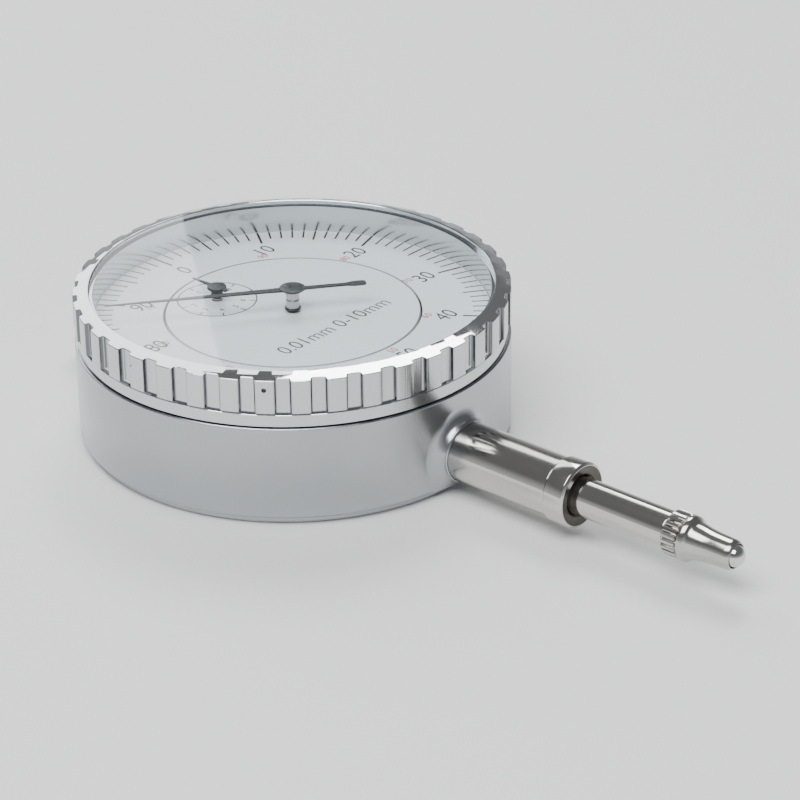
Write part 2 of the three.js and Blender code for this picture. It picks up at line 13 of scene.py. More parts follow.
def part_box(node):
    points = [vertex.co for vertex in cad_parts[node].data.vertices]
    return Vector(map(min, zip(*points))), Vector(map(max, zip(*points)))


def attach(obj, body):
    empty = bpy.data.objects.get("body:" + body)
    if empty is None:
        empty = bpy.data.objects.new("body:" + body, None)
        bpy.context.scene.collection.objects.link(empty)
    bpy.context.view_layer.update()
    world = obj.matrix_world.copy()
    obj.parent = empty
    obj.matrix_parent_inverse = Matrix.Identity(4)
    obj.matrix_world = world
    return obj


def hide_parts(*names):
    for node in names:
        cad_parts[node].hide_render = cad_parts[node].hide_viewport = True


MM = 0.001
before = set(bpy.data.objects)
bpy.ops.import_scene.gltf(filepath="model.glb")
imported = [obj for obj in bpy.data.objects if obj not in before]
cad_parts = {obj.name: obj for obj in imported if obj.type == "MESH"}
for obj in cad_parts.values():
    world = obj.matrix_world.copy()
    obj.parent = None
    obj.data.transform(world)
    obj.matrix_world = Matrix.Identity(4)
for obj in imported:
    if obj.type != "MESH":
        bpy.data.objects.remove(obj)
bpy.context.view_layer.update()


def span(node, axis):
    """Lowest and highest place of a frame node along one axis, in millimetres."""
    low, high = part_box(node)
    return low[axis] / MM, high[axis] / MM


# Driving sizes, read from the frame. The dial's axis is at x = 0, y = 0.
AXIS_HEIGHT = sum(span("stem", 2)) / 2
CASE_RADIUS = span("case_body", 0)[1]
CASE_LOW, SPIGOT_TOP = span("case_body", 2)
RING_LOW, RIM_TOP = span("bezel", 2)
DIAL_BACK, DIAL_FACE = span("dial_ring", 2)
CRYSTAL_LOW, CRYSTAL_TOP = span("crystal", 2)
STEM_END, STEM_START = span("stem", 1)
COLLAR_END, BUSH_START = span("lower_bush", 1)
STEM_RADIUS = span("stem", 0)[1]
COLLAR_RADIUS = span("lower_bush", 0)[1]
SPINDLE_RADIUS = span("spindle", 0)[1]
SPINDLE_END, SPINDLE_TOP = span("spindle", 1)
CONTACT_TIP, STUD_TOP = span("contact_point", 1)
CONTACT_RADIUS = span("contact_point", 0)[1]
CAP_START, CAP_END = span("top_cap", 1)
CAP_RADIUS = span("top_cap", 0)[1]
BLADE_LOW, BLADE_TOP = span("main_hand", 2)
HUB_LOW, HUB_TOP = span("hand_hub", 2)
SMALL_LOW, SMALL_TOP = span("small_hand", 2)
COUNTER_X = sum(span("counter_wheel", 0)) / 2
COUNTER_Y = sum(span("counter_wheel", 1)) / 2

# The case: its ledge for the movement, and the grooved spigot that the bezel snaps on to.
CASE_TOP = 13.75
CASE_BORE = 26.6
COVER_RADIUS = 28.3
LEDGE_RADIUS = 22.6
LEDGE_LOW = 11.75
LEDGE_TOP = 12.75
SPIGOT_RADIUS = 27.3
SPIGOT_BORE = 25.9
GROOVE_RADIUS = 26.9
GROOVE_LOW = 14.25
GROOVE_TOP = 15.15

# The stem's bushes, the spindle's rack and the contact.
BUSH_RADIUS = 3.6
SLEEVE_RADIUS = 3.2
RUNNING_FIT = 0.06
RACK_PITCH = 0.625
SOCKET_RADIUS = 1.45
STUD_RADIUS = 1.2
BALL_RADIUS = 1.45
KNURL_END = SPINDLE_END - 2.4

# The bezel, its flutes, and the dial under it. FLUTE_HALF is half a flute's width.
KNURL_LOW = 15.9
BEVEL_LOW = 20.5
RIM_RADIUS = 27.05
RING_RADIUS = 28.6
INNER_WALL = 26.4
FLUTES = 40
FLUTE_DEPTH = 0.6
FLUTE_HALF = 1.13
FIRST_FLUTE = 4.55
CENTRE_RADIUS = 17.0
MAIN_READING = 85.5
SMALL_DIAL_RADIUS = 5.3
INK = 0.015


# ---------------------------------------------------------------- shape helpers

def ring_of_points(bm, profile, closed):
    """The profile as wire in the XZ plane. Each point is radius, height and a corner radius."""
    verts = [bm.verts.new((point[0] * MM, 0, point[1] * MM)) for point in profile]
    pairs = list(zip(verts, verts[1:]))
    if closed:
        pairs.append((verts[-1], verts[0]))
    for pair in pairs:
        bm.edges.new(pair)
    rounds = [point[2] if len(point) > 2 else 0 for point in profile]
    for size in sorted({r for r in rounds if r}):
        corners = [vert for vert, r in zip(verts, rounds) if r == size]
        bmesh.ops.bevel(bm, geom=corners, offset=size * MM, offset_type="OFFSET", segments=4,
                        profile=0.5, affect="VERTICES", material=-1)


def turned(profile, closed=False, along="Z", steps=144, at=(0, 0, 0)):
    """A turned solid. A profile that isn't closed starts and ends on the axis."""
    bm = bmesh.new()
    ring_of_points(bm, profile, closed)
    bmesh.ops.spin(bm, geom=bm.verts[:] + bm.edges[:], cent=(0, 0, 0), axis=(0, 0, 1),
                   dvec=(0, 0, 0), angle=2 * math.pi, steps=steps, use_merge=True,
                   use_normal_flip=False, use_duplicate=False)
    bmesh.ops.remove_doubles(bm, verts=bm.verts[:], dist=1e-7)
    bmesh.ops.recalc_face_normals(bm, faces=bm.faces[:])
    turns = {"Z": Matrix(), "Y": Matrix.Rotation(-math.pi / 2, 4, "X"),
             "X": Matrix.Rotation(math.pi / 2, 4, "Y")}
    place = Matrix.Translation(Vector(at) * MM) @ turns[along]
    bmesh.ops.transform(bm, matrix=place, verts=bm.verts[:])
    return bm


def plate(points, low, high, bevel=0.0):
    """A flat outline in the XY plane, made a solid from low to high with its edges eased."""
    bm = bmesh.new()
    bm.faces.new([bm.verts.new((x * MM, y * MM, low * MM)) for x, y in points])
    made = bmesh.ops.extrude_face_region(bm, geom=bm.faces[:])
    moved = [item for item in made["geom"] if isinstance(item, bmesh.types.BMVert)]
    bmesh.ops.translate(bm, vec=(0, 0, (high - low) * MM), verts=moved)
    bmesh.ops.recalc_face_normals(bm, faces=bm.faces[:])
    if bevel:
        flat = [e for e in bm.edges if abs(e.verts[0].co.z - e.verts[1].co.z) < 1e-9]
        bmesh.ops.bevel(bm, geom=flat, offset=bevel * MM, offset_type="OFFSET", segments=2,
                        profile=0.5, affect="EDGES", material=-1)
    return bm


def joined(*parts):
    """Several bmeshes as one."""
    whole = parts[0]
    for part in parts[1:]:
        mesh = bpy.data.meshes.new("part")
        part.to_mesh(mesh)
        part.free()
        whole.from_mesh(mesh)
        bpy.data.meshes.remove(mesh)
    return whole


def object_of(bm, name):
    """The solid as an object at the origin, in the scene."""
    mesh = bpy.data.meshes.new(name)
    bm.to_mesh(mesh)
    bm.free()
    made = bpy.data.objects.new(name, mesh)
    bpy.context.scene.collection.objects.link(made)
    return made


def combined(bm, other, operation):
    """One solid cut by another, or joined to it."""
    base = object_of(bm, "base")
    tool = object_of(other, "tool")
    step = base.modifiers.new("step", "BOOLEAN")
    step.object = tool
    step.operation = operation
    step.solver = "EXACT"
    shape = base.evaluated_get(bpy.context.evaluated_depsgraph_get())
    result = bmesh.new()
    result.from_mesh(shape.to_mesh())
    shape.to_mesh_clear()
    for used in (base, tool):
        mesh = used.data
        bpy.data.objects.remove(used)
        bpy.data.meshes.remove(mesh)
    return result


def finished(bm, name, body, materials, stands_for=(), crease=32):
    """The solid becomes a piece that rides on a body and stands for frame nodes."""
    made = object_of(bm, name)
    for material in materials:
        made.data.materials.append(material)
    made.data.shade_smooth()
    made.data.set_sharp_from_angle(angle=math.radians(crease))
    weighted = made.modifiers.new("even shading", "WEIGHTED_NORMAL")
    weighted.keep_sharp = True
    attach(made, body)
    if stands_for:
        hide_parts(*stands_for)
    return made


# ---------------------------------------------------------------- material helpers

def linear(code):
    """An sRGB hex colour as linear RGBA."""
    parts = [int(code[i:i + 2], 16) / 255 for i in (1, 3, 5)]
    return [p / 12.92 if p <= 0.04045 else ((p + 0.055) / 1.055) ** 2.4 for p in parts] + [1]


def node(tree, kind, inputs=None, **settings):
    """Adds a node with its settings, values and links."""
    made = tree.nodes.new(kind)
    for key, value in settings.items():
        setattr(made, key, value)
    for key, value in (inputs or {}).items():
        if isinstance(value, bpy.types.NodeSocket):
            tree.links.new(value, made.inputs[key])
        else:
            made.inputs[key].default_value = value
    return made


def new_material(name):
    """An empty material and its tree."""
    material = bpy.data.materials.new(name)
    material.use_nodes = True
    material.node_tree.nodes.clear()
    return material, material.node_tree


def place_on(tree):
    """Object coordinates in millimetres."""
    coordinates = node(tree, "ShaderNodeTexCoord").outputs["Object"]
    scale = {"Scale": (1 / MM, 1 / MM, 1 / MM)}
    return node(tree, "ShaderNodeMapping", {"Vector": coordinates, **scale}).outputs["Vector"]


def mixed(tree, factor, low, high):
    """A number that goes from low to high as factor goes from 0 to 1."""
    inputs = {"Value": factor, "To Min": low, "To Max": high}
    return node(tree, "ShaderNodeMapRange", inputs).outputs["Result"]


def turning_marks(tree, axis, pitch):
    """Noise drawn into rings about an axis, as a lathe tool leaves them."""
    parts = node(tree, "ShaderNodeSeparateXYZ", {"Vector": place_on(tree)}).outputs
    height = parts[axis]
    if axis == "Y":
        height_from_axis = node(tree, "ShaderNodeMath", {0: parts["Z"], 1: AXIS_HEIGHT},
                                operation="SUBTRACT").outputs[0]
        sides = (parts["X"], height_from_axis)
    else:
        sides = (parts["X"], parts["Y"])
    flat = node(tree, "ShaderNodeCombineXYZ", {"X": sides[0], "Y": sides[1]}).outputs[0]
    radius = node(tree, "ShaderNodeVectorMath", {0: flat}, operation="LENGTH").outputs["Value"]
    rings = node(tree, "ShaderNodeCombineXYZ", {"X": height, "Y": radius}).outputs[0]
    inputs = {"Vector": rings, "Scale": 1 / pitch, "Detail": 2.0, "Roughness": 0.6}
    return node(tree, "ShaderNodeTexNoise", inputs).outputs["Fac"]


def blotches(tree, size, detail=3.0):
    """Soft patches of the given size in millimetres."""
    inputs = {"Vector": place_on(tree), "Scale": 1 / size, "Detail": detail}
    return node(tree, "ShaderNodeTexNoise", inputs).outputs["Fac"]


def metal(name, colour, dark, rough, marks, patches, depth, painted_shade=None):
    """A bare metal: marks from the tool, patches from handling, and the roughness they give. A
    painted_shade mask, when given, mixes painted shade into the colour.
    """
    material, tree = new_material(name)
    mark = marks(tree)
    patch = blotches(tree, patches)
    tint = node(tree, "ShaderNodeMix", {"Factor": mixed(tree, patch, 0.0, 0.6),
                                        "A": linear(colour), "B": linear(dark)},
                data_type="RGBA")
    # Painted shade: a dark grey mixed into the colour where the mask is high.
    if painted_shade:
        tint = node(tree, "ShaderNodeMix", {"Factor": painted_shade(tree), "A": tint.outputs["Result"],
                                            "B": linear("#5d6064")}, data_type="RGBA")
    spread = node(tree, "ShaderNodeMath", {0: mark, 1: patch}, operation="MULTIPLY").outputs[0]
    roughness = mixed(tree, spread, rough[0], rough[1])
    inputs = {"Height": mark, "Strength": 0.35, "Distance": depth * MM}
    bump = node(tree, "ShaderNodeBump", inputs).outputs["Normal"]
    inputs = {"Base Color": tint.outputs["Result"], "Metallic": 1.0, "Roughness": roughness,
              "Normal": bump}
    shader = node(tree, "ShaderNodeBsdfPrincipled", inputs)
    node(tree, "ShaderNodeOutputMaterial", {"Surface": shader.outputs[0]})
    return material


def paint(name, colour, worn, rough, size, metallic=0.0, depth=0.004):
    """An opaque coat with a fine grain."""
    material, tree = new_material(name)
    grain = blotches(tree, size)
    patch = blotches(tree, 14.0)
    tint = node(tree, "ShaderNodeMix", {"Factor": mixed(tree, patch, 0.0, 1.0),
                                        "A": linear(colour), "B": linear(worn)},
                data_type="RGBA")
    inputs = {"Height": grain, "Strength": 0.2, "Distance": depth * MM}
    bump = node(tree, "ShaderNodeBump", inputs).outputs["Normal"]
    inputs = {"Base Color": tint.outputs["Result"], "Metallic": metallic,
              "Roughness": mixed(tree, grain, rough[0], rough[1]), "Normal": bump}
    shader = node(tree, "ShaderNodeBsdfPrincipled", inputs)
    node(tree, "ShaderNodeOutputMaterial", {"Surface": shader.outputs[0]})
    return material


# ---------------------------------------------------------------- materials

def milled_marks(tree):
    """Fine upright lines round the bezel, left by the cutter that milled the flutes."""
    parts = node(tree, "ShaderNodeSeparateXYZ", {"Vector": place_on(tree)}).outputs
    turn = node(tree, "ShaderNodeMath", {0: parts["Y"], 1: parts["X"]},
                operation="ARCTAN2").outputs[0]
    along = node(tree, "ShaderNodeMath", {0: turn, 1: CASE_RADIUS / 0.3},
                 operation="MULTIPLY").outputs[0]
    lines = node(tree, "ShaderNodeCombineXYZ", {"X": along}).outputs[0]
    inputs = {"Vector": lines, "Scale": 1.0, "Detail": 2.0}
    return node(tree, "ShaderNodeTexNoise", inputs).outputs["Fac"]


def flute_grime(tree):
    """Painted shade on the upright walls of the flutes, between their floors and the rim: a mask
    by radius that darkens them as shade would.
    """
    flat = node(tree, "ShaderNodeVectorMath", {0: place_on(tree), 1: (1, 1, 0)},
                operation="MULTIPLY").outputs[0]
    radius = node(tree, "ShaderNodeVectorMath", {0: flat}, operation="LENGTH").outputs["Value"]
    middle = CASE_RADIUS - FLUTE_DEPTH / 2
    away = node(tree, "ShaderNodeMath", {0: radius, 1: middle}, operation="SUBTRACT").outputs[0]
    away = node(tree, "ShaderNodeMath", {0: away}, operation="ABSOLUTE").outputs[0]
    inputs = {"Value": away, "From Min": 0.2, "From Max": 0.28, "To Min": 0.85, "To Max": 0.0}
    return node(tree, "ShaderNodeMapRange", inputs).outputs["Result"]


def acrylic():
    """Clear cast acrylic, polished: it mirrors more the flatter it is looked at."""
    material, tree = new_material("acrylic_crystal")
    smudge = blotches(tree, 9.0)
    mirror = node(tree, "ShaderNodeBsdfGlossy",
                  {"Color": (1, 1, 1, 1), "Roughness": mixed(tree, smudge, 0.01, 0.05)})
    clear = node(tree, "ShaderNodeBsdfTransparent", {"Color": linear("#fbfdfe")})
    edge = node(tree, "ShaderNodeFresnel", {"IOR": 1.49})
    inside = node(tree, "ShaderNodeNewGeometry").outputs["Backfacing"]
    outside = node(tree, "ShaderNodeMath", {0: 1.0, 1: inside}, operation="SUBTRACT").outputs[0]
    share = node(tree, "ShaderNodeMath", {0: edge.outputs[0], 1: outside}, operation="MULTIPLY")
    both = node(tree, "ShaderNodeMixShader",
                {0: share.outputs[0], 1: clear.outputs[0], 2: mirror.outputs[0]})
    node(tree, "ShaderNodeOutputMaterial", {"Surface": both.outputs[0]})
    return material


# Chrome plate over satin-milled brass: pale, with a soft sheen that breaks along the cutter lines,
# and painted shade on the flute walls.
satin_chrome = metal("satin_chrome", "#d4d6d7", "#bfc2c4", (0.16, 0.34), milled_marks, 7.0, 0.03,
                     flute_grime)
# Polished chrome: a near mirror, with faint rings from the buff.
polished_chrome = metal("polished_chrome", "#dddedf", "#d0d2d3", (0.03, 0.1),
                        lambda tree: turning_marks(tree, "Z", 0.5), 12.0, 0.002)
# Fine-turned chrome on the ring under the flutes.
turned_chrome = metal("turned_chrome", "#d2d4d6", "#c2c5c8", (0.12, 0.26),
                      lambda tree: turning_marks(tree, "Z", 0.14), 9.0, 0.004)
# Plated die-cast case: smoother and greyer than the bezel, with a broad soft reflection.
cast_case = metal("plated_case", "#b4b7ba", "#a2a6aa", (0.2, 0.34),
                  lambda tree: turning_marks(tree, "Z", 0.22), 11.0, 0.004)
# Centreless-ground stainless: bright, with faint rings round the stem.
ground_steel = metal("ground_steel", "#cfcdc9", "#bbb8b3", (0.08, 0.2),
                     lambda tree: turning_marks(tree, "Y", 0.12), 6.0, 0.003)
# Hardened tool steel, finish-turned: a little darker and softer than the ground spindle.
hardened_steel = metal("hardened_steel", "#c4c3c0", "#a8a6a2", (0.12, 0.26),
                       lambda tree: turning_marks(tree, "Y", 0.15), 3.0, 0.004)
# Steel under a film of old oil in the bush's dished end, dark and dull: the dark colour is partly
# the oil and partly painted shade for the recess.
oil_and_painted_shade_steel = metal("oil_and_painted_shade_steel", "#5f5c57", "#474541", (0.3, 0.45),
                    lambda tree: turning_marks(tree, "Y", 0.15), 2.0, 0.004)
# Lapped bearing ball: a clean mirror.
bearing_steel = metal("bearing_steel", "#d9d9d8", "#cfcfce", (0.03, 0.06),
                      lambda tree: blotches(tree, 1.0), 2.0, 0.001)
# Turned brass of the movement, warm and lightly ringed.
turned_brass = metal("turned_brass", "#c9a35a", "#b08a43", (0.2, 0.36),
                     lambda tree: turning_marks(tree, "Z", 0.2), 5.0, 0.006)
# Drawn spring wire: darker and a little rougher.
spring_wire = metal("spring_wire", "#8d8f93", "#74767b", (0.22, 0.36),
                    lambda tree: blotches(tree, 0.4), 2.0, 0.004)
# Screws: bright zinc over steel.
screw_steel = metal("screw_steel", "#c6c7c8", "#a9abad", (0.18, 0.32),
                    lambda tree: turning_marks(tree, "Z", 0.12), 1.5, 0.004)
# Baked white enamel on the dial plates, with an almost invisible grain.
white_enamel = paint("white_enamel", "#f1f3f3", "#e9ecee", (0.38, 0.5), 0.25)
# Screen-printed inks: matt, and not quite even.
black_ink = paint("black_ink", "#0d0e10", "#151618", (0.45, 0.6), 0.12)
red_ink = paint("red_ink", "#b8403c", "#c2524c", (0.45, 0.6), 0.12)
# Hands: black oxide under clear lacquer.
hand_black = paint("hand_black", "#0e1318", "#161d24", (0.22, 0.36), 0.3)
# The crystal: clear cast acrylic, which shows only by its reflections.
clear_acrylic = acrylic()


# ---------------------------------------------------------------- case and back

def case_shell():
    """The round wall, its ledge and spigot, the flared stem boss and the cap boss."""
    wall = [(28.7, CASE_LOW, 0.0), (CASE_RADIUS, CASE_LOW + 0.3, 0.15),
            (CASE_RADIUS, CASE_TOP, 0.18), (SPIGOT_RADIUS, CASE_TOP),
            (SPIGOT_RADIUS, GROOVE_LOW), (GROOVE_RADIUS, GROOVE_LOW),
            (GROOVE_RADIUS, GROOVE_TOP), (SPIGOT_RADIUS, GROOVE_TOP),
            (SPIGOT_RADIUS, SPIGOT_TOP, 0.1), (SPIGOT_BORE, SPIGOT_TOP, 0.1),
            (SPIGOT_BORE, LEDGE_TOP), (LEDGE_RADIUS, LEDGE_TOP, 0.1),
            (LEDGE_RADIUS, LEDGE_LOW, 0.1), (CASE_BORE, LEDGE_LOW), (CASE_BORE, CASE_LOW)]
    shell = turned(wall, closed=True, steps=288)
    shell = combined(shell, stem_fillet(), "UNION")
    at = (0, 0, AXIS_HEIGHT)
    cap_boss = [(0, 26), (5.4, 26), (5.4, CAP_START - 0.05, 0.2), (0, CAP_START - 0.05)]
    shell = combined(shell, turned(cap_boss, along="Y", steps=96, at=at), "UNION")
    lug_radius, lug_top = 2.55, 12.25
    lugs = [turned([(0, CASE_LOW), (lug_radius, CASE_LOW), (lug_radius, lug_top), (0, lug_top)],
                   steps=32, at=(*place, 0)) for place in cover_screw_places()]
    shell = combined(shell, joined(*lugs), "UNION")
    floor_cut = turned([(0, -9), (40, -9), (40, CASE_LOW), (0, CASE_LOW)])
    shell = combined(shell, floor_cut, "DIFFERENCE")
    stem_bore = STEM_RADIUS + 0.05
    bore = [(0, -40), (stem_bore, -40), (stem_bore, -20), (0, -20)]
    shell = combined(shell, turned(bore, along="Y", steps=96, at=at), "DIFFERENCE")
    bush_bore = BUSH_RADIUS + 0.1
    bore = [(0, 20), (bush_bore, 20), (bush_bore, 40), (0, 40)]
    shell = combined(shell, turned(bore, along="Y", steps=96, at=at), "DIFFERENCE")
    holes = [turned([(0, 0), (1.1, 0), (1.1, 6), (0, 6)], steps=24, at=(*place, 0))
             for place in cover_screw_places()]
    shell = combined(shell, joined(*holes), "DIFFERENCE")
    # The cuts leave corners a micron or two apart, and merging them closes the wall.
    bmesh.ops.remove_doubles(shell, verts=shell.verts[:], dist=0.003 * MM)
    finished(shell, "case_shell", "case", [cast_case], ["case_body"], crease=24)


def stem_fillet():
    """The boss that the stem stands in, which leaves the round wall in a short hollow curve."""
    inner, outer, reach = 4.25, 6.3, 1.5
    curve = []
    for step in range(17):
        turn = math.pi / 2 * step / 16
        curve.append((outer - (outer - inner) * math.sin(turn),
                      reach * (1 - math.cos(turn)) - 0.02))
    profile = [(0, -3), (outer + 0.4, -3), (outer + 0.4, -0.1), *curve,
               (inner - 0.12, reach + 0.1), (0, reach + 0.1)]
    boss = turned(profile, steps=128)
    bmesh.ops.transform(boss, matrix=Matrix.Rotation(math.pi / 2, 4, "X"), verts=boss.verts[:])
    for vert in boss.verts:
        vert.co.y -= math.sqrt((CASE_RADIUS * MM) ** 2 - vert.co.x ** 2)
        vert.co.z += AXIS_HEIGHT * MM
    return boss


def cover_screw_places():
    """Middles of the four screws that hold the back cover."""
    places = []
    for index in range(1, 5):
        low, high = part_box(f"back_screw_{index}")
        places.append(((low[0] + high[0]) / 2 / MM, (low[1] + high[1]) / 2 / MM))
    return places


def back_plate():
    """A thin cover with an eased edge, a shallow turned recess line and four screw pockets."""
    line_inner, line_outer, line_depth = 20.0, 20.5, 0.12
    profile = [(0, 0), (line_inner, 0), (line_inner, line_depth), (line_outer, line_depth),
               (line_outer, 0), (COVER_RADIUS, 0, 0.35), (COVER_RADIUS, CASE_LOW, 0.1),
               (0, CASE_LOW)]
    cover = turned(profile, steps=288)
    pockets = [turned([(0, -1), (2.0, -1), (2.0, 0.6), (1.1, 0.6), (1.1, 2), (0, 2)], steps=48,
                      at=(*place, 0)) for place in cover_screw_places()]
    cover = combined(cover, joined(*pockets), "DIFFERENCE")
    finished(cover, "back_plate", "case", [cast_case], ["back_cover"])


def slotted_screw(name):
    """A slotted cheese-head screw where the frame has one, head up unless it's in the back."""
    low, high = (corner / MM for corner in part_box(name))
    centre = (low + high) / 2
    head_radius = (high.x - low.x) / 2
    length = high.z - low.z
    head = {"back": 0.5, "plate": 0.8, "pillar": 0.7}.get(name.split("_")[0], 0.4)
    shank = head_radius * 0.5
    profile = [(0, 0), (shank - 0.15, 0), (shank, 0.2)]
    profile += [(shank, length - head), (head_radius, length - head, 0.06)]
    profile += [(head_radius, length, 0.12), (0, length)]
    body = turned(profile, steps=48)
    slot = bmesh.new()
    size = Matrix.Diagonal((3 * head_radius * MM, 0.26 * head_radius * MM, head * MM, 1))
    place = Matrix.Translation((0, 0, length * MM)) @ Matrix.Rotation(low.x, 4, "Z")
    bmesh.ops.create_cube(slot, size=1, matrix=place @ size)
    body = combined(body, slot, "DIFFERENCE")
    stand = Matrix.Translation(Vector((centre.x, centre.y, low.z)) * MM)
    if name.startswith("back"):
        stand = Matrix.Translation(Vector((centre.x, centre.y, high.z)) * MM)
        stand = stand @ Matrix.Rotation(math.pi, 4, "X")
    bmesh.ops.transform(body, matrix=stand, verts=body.verts[:])
    finished(body, f"{name}_slotted", "case", [screw_steel], [name])


# ---------------------------------------------------------------- stem, spindle and contact

def stem_tube():
    """The clamping stem, a plain tube pressed into the case."""
    bore = 3.45
    profile = [(bore, STEM_END), (STEM_RADIUS, STEM_END, 0.1), (STEM_RADIUS, STEM_START, 0.2),
               (bore, STEM_START)]
    tube = turned(profile, closed=True, along="Y", steps=144, at=(0, 0, AXIS_HEIGHT))
    finished(tube, "stem_tube", "case", [ground_steel], ["stem"])


def collar_bush():
    """The lower bush: a sleeve in the stem and a collar with a chamfer and a dished end."""
    bore = SPINDLE_RADIUS + RUNNING_FIT
    mouth = COLLAR_RADIUS - 0.32
    step = STEM_END - 0.08
    profile = [(bore, BUSH_START), (SLEEVE_RADIUS, BUSH_START), (SLEEVE_RADIUS, step),
               (COLLAR_RADIUS - 0.25, step), (COLLAR_RADIUS - 0.12, STEM_END - 0.22),
               (COLLAR_RADIUS, STEM_END - 0.3, 0.05), (COLLAR_RADIUS, COLLAR_END + 0.28, 0.06),
               (mouth, COLLAR_END, 0.05), (mouth - 0.3, COLLAR_END + 0.04),
               (bore + 0.35, COLLAR_END + 0.2), (bore, COLLAR_END + 0.55)]
    bush = turned(profile, closed=True, along="Y", steps=144, at=(0, 0, AXIS_HEIGHT))
    # Faces inside the dished end take the dark finish, which is partly oil and partly painted
    # shade.
    for face in bush.faces:
        middle = face.calc_center_median() / MM
        radius = math.hypot(middle.x, middle.z - AXIS_HEIGHT)
        face.material_index = int(radius < mouth - 0.08 and middle.y < COLLAR_END + 1)
    finished(bush, "collar_bush", "case", [ground_steel, oil_and_painted_shade_steel], ["lower_bush"])


def cap_bush():
    """The upper bush, flanged where it meets the inside of the case."""
    bore = SPINDLE_RADIUS + RUNNING_FIT
    start, end = 23.5, 31.5
    flange, flange_start, flange_end = 4.4, 25.25, 25.9
    profile = [(bore, start, 0.1), (BUSH_RADIUS, start, 0.2), (BUSH_RADIUS, flange_start),
               (flange, flange_start, 0.1), (flange, flange_end, 0.1),
               (BUSH_RADIUS, flange_end), (BUSH_RADIUS, end, 0.2), (bore, end, 0.1)]
    bush = turned(profile, closed=True, along="Y", steps=96, at=(0, 0, AXIS_HEIGHT))
    finished(bush, "cap_bush", "case", [turned_brass], ["upper_bush"])


def dust_cap():
    """The cap over the spindle's top end, with a ringed grip and a domed end."""
    grooves = []
    for index in range(5):
        middle = CAP_START + 2.6 + index * 0.9
        grooves += [(CAP_RADIUS, middle - 0.25, 0.06), (CAP_RADIUS - 0.18, middle),
                    (CAP_RADIUS, middle + 0.25, 0.06)]
    mouth, bore, step = 3.65, 3.3, 33
    top = CAP_END - 0.9
    profile = [(mouth, CAP_START), (CAP_RADIUS, CAP_START, 0.2), *grooves,
               (CAP_RADIUS, CAP_END - 0.5, 0.3), (3.7, CAP_END, 0.5), (0, CAP_END)]
    inside = [(0, top), (bore, top), (bore, step), (mouth, step)]
    profile = [*inside, *profile]
    cap = turned(profile, along="Y", steps=144, at=(0, 0, AXIS_HEIGHT))
    finished(cap, "dust_cap", "case", [ground_steel], ["top_cap"])


def rack_spindle():
    """The spindle, with rack teeth cut into its side where the pinion runs."""
    socket = STUD_TOP + 1
    profile = [(0, socket), (SOCKET_RADIUS, socket), (SOCKET_RADIUS, SPINDLE_END),
               (SPINDLE_RADIUS, SPINDLE_END, 0.15),
               (SPINDLE_RADIUS, SPINDLE_TOP, 0.4), (0, SPINDLE_TOP)]
    rod = turned(profile, along="Y", steps=144, at=(0, 0, AXIS_HEIGHT))
    points = []
    start = COUNTER_Y - 10 - 3.5 * RACK_PITCH
    tooth_top, tooth_foot = -2.466, -2.06
    for index in range(23):
        middle = start + index * RACK_PITCH
        for across, side in ((-0.4, tooth_top), (-0.23, tooth_foot), (0.23, tooth_foot),
                             (0.4, tooth_top)):
            points.append((side, middle + across * RACK_PITCH))
    points = [(-5, points[0][1] - 0.2), *points, (-5, points[-1][1] + 0.2)]
    comb = plate(points, AXIS_HEIGHT - 3, AXIS_HEIGHT + 3)
    rod = combined(rod, comb, "DIFFERENCE")
    hole = turned([(0, 0.8), (0.72, 0.8), (0.72, 4), (0, 4)], along="X", steps=32,
                  at=(0, 1, AXIS_HEIGHT))
    rod = combined(rod, hole, "DIFFERENCE")
    finished(rod, "rack_spindle", "spindle", [ground_steel], ["spindle"])


def guide_peg():
    """The pin that keeps the spindle from turning, necked near its end."""
    profile = [(0, 1.1), (0.7, 1.1), (0.7, 8.3), (0.45, 8.5), (0.45, 8.9), (0.7, 9.1),
               (0.7, 9.5, 0.15), (0, 9.5)]
    peg = turned(profile, along="X", steps=32, at=(0, 1, AXIS_HEIGHT))
    finished(peg, "guide_peg", "spindle", [hardened_steel], ["guide_pin"])


def knurled_contact():
    """The screw-in contact: a straight-knurled band, a round shoulder and a tapering tip."""
    ribs = 22
    groove = (0, 0, 0, 0, 0.15, 0.65, 1.0, 0.65, 0.15, 0)
    steps = ribs * len(groove)
    core = CONTACT_RADIUS - 0.4
    profile = [(0, SPINDLE_END), (core, SPINDLE_END), (CONTACT_RADIUS, SPINDLE_END - 0.3),
               (CONTACT_RADIUS, KNURL_END + 0.2), (core, KNURL_END), (0, KNURL_END)]
    bm = turned(profile, steps=steps)
    for vert in bm.verts:
        index = round(math.atan2(vert.co.y, vert.co.x) / (2 * math.pi) * steps)
        share = 1 - 0.12 * groove[index % len(groove)]
        if math.hypot(vert.co.x, vert.co.y) > (CONTACT_RADIUS - 0.05) * MM:
            vert.co.x *= share
            vert.co.y *= share
    place = Matrix.Translation((0, 0, AXIS_HEIGHT * MM)) @ Matrix.Rotation(-math.pi / 2, 4, "X")
    bmesh.ops.transform(bm, matrix=place, verts=bm.verts[:])
    tip = CONTACT_TIP
    profile = [(0, KNURL_END + 0.3), (core, KNURL_END + 0.3), (core, KNURL_END - 0.06),
               (CONTACT_RADIUS, KNURL_END - 0.12, 0.06), (CONTACT_RADIUS, KNURL_END - 0.75, 0.35),
               (2.45, KNURL_END - 1.25, 0.3), (2.08, KNURL_END - 3.5, 0.8),
               (1.95, tip + 0.5, 0.3), (1.62, tip, 0.1), (1.5, tip + 0.3), (1.5, tip + 1.6),
               (0, tip + 1.6)]
    nose = turned(profile, along="Y", steps=96, at=(0, 0, AXIS_HEIGHT))
    bm = combined(bm, nose, "UNION")
    stud_low = SPINDLE_END - 1
    stud = turned([(0, stud_low), (STUD_RADIUS, stud_low), (STUD_RADIUS, STUD_TOP, 0.2),
                   (0, STUD_TOP)], along="Y", steps=48, at=(0, 0, AXIS_HEIGHT))
    bm = combined(bm, stud, "UNION")
    finished(bm, "knurled_contact", "spindle", [hardened_steel], ["contact_point"])


